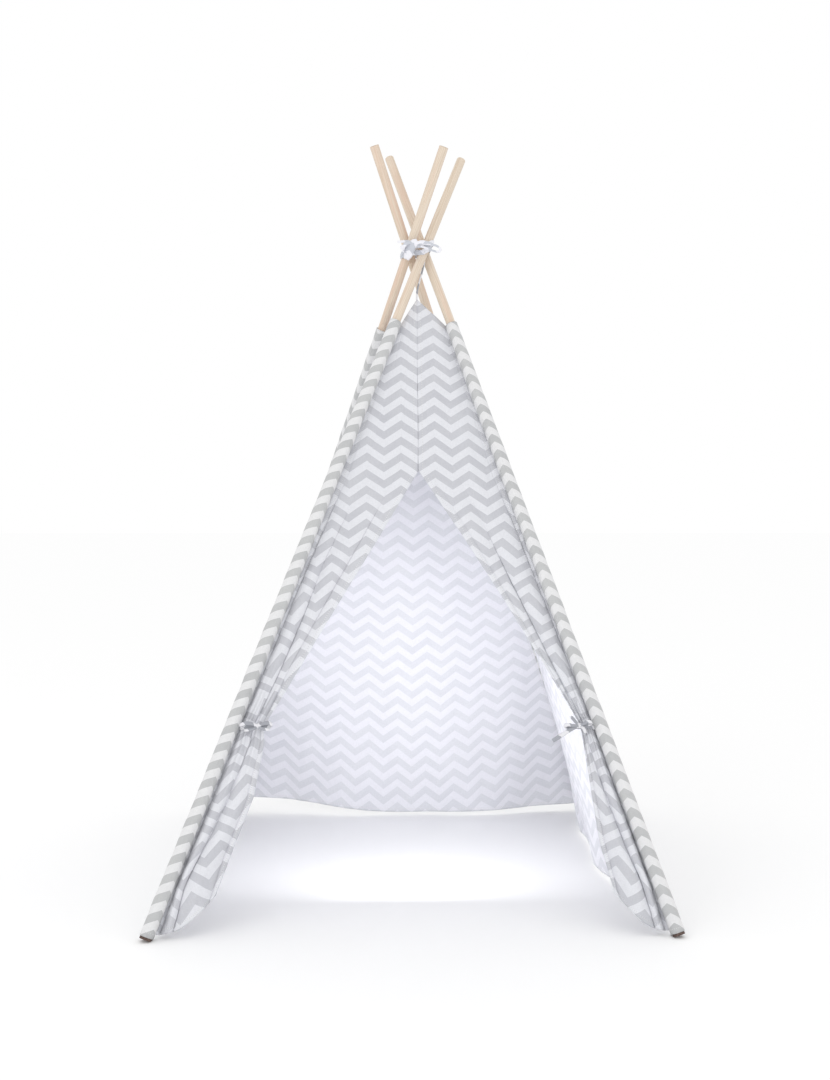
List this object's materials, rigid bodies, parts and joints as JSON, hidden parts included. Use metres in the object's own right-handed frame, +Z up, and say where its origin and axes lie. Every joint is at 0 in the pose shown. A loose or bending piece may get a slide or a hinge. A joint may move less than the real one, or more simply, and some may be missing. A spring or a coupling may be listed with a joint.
{
  "type": "teepee tent",
  "caption": "Floor-standing play tent of pale wooden poles lashed at the crown under a zigzag cotton cover with a tied-back door.",
  "frame": {"origin": "On the floor, under the middle of the tent's bounding box.", "axes": "+Z up along the tent's height, -Y out of the door, +X to the right as seen from the door."},
  "size_m": [1.0199, 1.02, 1.6229],
  "materials": {
    "pine_dowel": "Pale pine dowel, planed and lightly sanded, unvarnished.",
    "aluminium_connector": "Thin drawn aluminium tube, satin.",
    "rubber_foot": "Moulded black rubber cap, matt.",
    "printed_cotton": "Plain-weave cotton printed with grey and white zigzag stripes, paler on its reverse.",
    "cotton_ribbon": "Narrow folded strips of the same printed cotton, stitched along their edges.",
    "cotton_string": "Thin twisted cotton string."
  },
  "bodies": {
    "crown": {"crown_lashing": "cotton_ribbon", "crown_bow": "cotton_ribbon", "peak_string": "cotton_string"},
    "pole_front_left": {"pole_front_left_lower": "pine_dowel", "pole_front_left_middle": "pine_dowel", "pole_front_left_upper": "pine_dowel", "connector_front_left_lower": "aluminium_connector", "connector_front_left_middle": "aluminium_connector", "foot_cap_front_left": "rubber_foot", "sleeve_front_left": "printed_cotton", "left_tie_ribbon": "cotton_ribbon", "left_tie_bow": "cotton_ribbon"},
    "pole_front_right": {"pole_front_right_lower": "pine_dowel", "pole_front_right_middle": "pine_dowel", "pole_front_right_upper": "pine_dowel", "connector_front_right_lower": "aluminium_connector", "connector_front_right_middle": "aluminium_connector", "foot_cap_front_right": "rubber_foot", "sleeve_front_right": "printed_cotton", "right_tie_ribbon": "cotton_ribbon", "right_tie_bow": "cotton_ribbon"},
    "pole_back_right": {"pole_back_right_lower": "pine_dowel", "pole_back_right_middle": "pine_dowel", "pole_back_right_upper": "pine_dowel", "connector_back_right_lower": "aluminium_connector", "connector_back_right_middle": "aluminium_connector", "foot_cap_back_right": "rubber_foot", "sleeve_back_right": "printed_cotton"},
    "pole_back_left": {"pole_back_left_lower": "pine_dowel", "pole_back_left_middle": "pine_dowel", "pole_back_left_upper": "pine_dowel", "connector_back_left_lower": "aluminium_connector", "connector_back_left_middle": "aluminium_connector", "foot_cap_back_left": "rubber_foot", "sleeve_back_left": "printed_cotton"},
    "front_wall": {"front_left_panel": "printed_cotton", "front_right_panel": "printed_cotton"},
    "left_wall": {"left_panel": "printed_cotton"},
    "right_wall": {"right_panel": "printed_cotton"},
    "back_wall": {"back_panel": "printed_cotton"}
  },
  "joints": [
    {"name": "fold_front_left", "type": "hinge", "parent": "crown", "child": "pole_front_left", "pos_m": [0.0355, -0.0448, 1.384], "axis": [0.6477, -0.7619, 0], "range_deg": [0, 25.58], "deforming": ["left_tie_ribbon", "left_tie_bow"]},
    {"name": "fold_front_right", "type": "hinge", "parent": "crown", "child": "pole_front_right", "pos_m": [0.0355, -0.0152, 1.384], "axis": [0.7221, 0.6918, 0], "range_deg": [0, 24.61], "deforming": ["right_tie_ribbon", "right_tie_bow"]},
    {"name": "fold_back_right", "type": "hinge", "parent": "crown", "child": "pole_back_right", "pos_m": [0.0005, -0.0152, 1.384], "axis": [-0.718, 0.6961, 0], "range_deg": [0, 26.06]},
    {"name": "fold_back_left", "type": "hinge", "parent": "crown", "child": "pole_back_left", "pos_m": [0.0005, -0.0448, 1.384], "axis": [-0.7364, -0.6765, 0], "range_deg": [0, 26.74]},
    {"name": "close_front_wall", "type": "hinge", "parent": "crown", "child": "front_wall", "pos_m": [0.03308, -0.0621, 1.28948], "axis": [0.9975, -0.0705, 0], "range_deg": [0, 17.88], "deforming": ["front_left_panel", "front_right_panel", "peak_string"]},
    {"name": "close_left_wall", "type": "hinge", "parent": "crown", "child": "left_wall", "pos_m": [-0.0168, -0.04179, 1.29102], "axis": [-0.0809, -0.9967, 0], "range_deg": [0, 19.58], "deforming": ["left_panel"]},
    {"name": "close_right_wall", "type": "hinge", "parent": "crown", "child": "right_wall", "pos_m": [0.0528, -0.0141, 1.28408], "axis": [-0.0246, 0.9997, 0], "range_deg": [0, 18.26], "deforming": ["right_panel"]},
    {"name": "close_back_wall", "type": "hinge", "parent": "crown", "child": "back_wall", "pos_m": [0.00047, 0.0021, 1.30018], "axis": [-1, 0.0022, 0], "range_deg": [0, 19.92], "deforming": ["back_panel"]}
  ],
  "couplings": [
    {"joint": "fold_front_right", "follows": "fold_front_left", "ratio": 0.96124},
    {"joint": "fold_back_right", "follows": "fold_front_left", "ratio": 1.018},
    {"joint": "fold_back_left", "follows": "fold_front_left", "ratio": 1.0447},
    {"joint": "close_front_wall", "follows": "fold_front_left", "ratio": 0.69842},
    {"joint": "close_left_wall", "follows": "fold_front_left", "ratio": 0.7646},
    {"joint": "close_right_wall", "follows": "fold_front_left", "ratio": 0.71325},
    {"joint": "close_back_wall", "follows": "fold_front_left", "ratio": 0.77825}
  ]
}
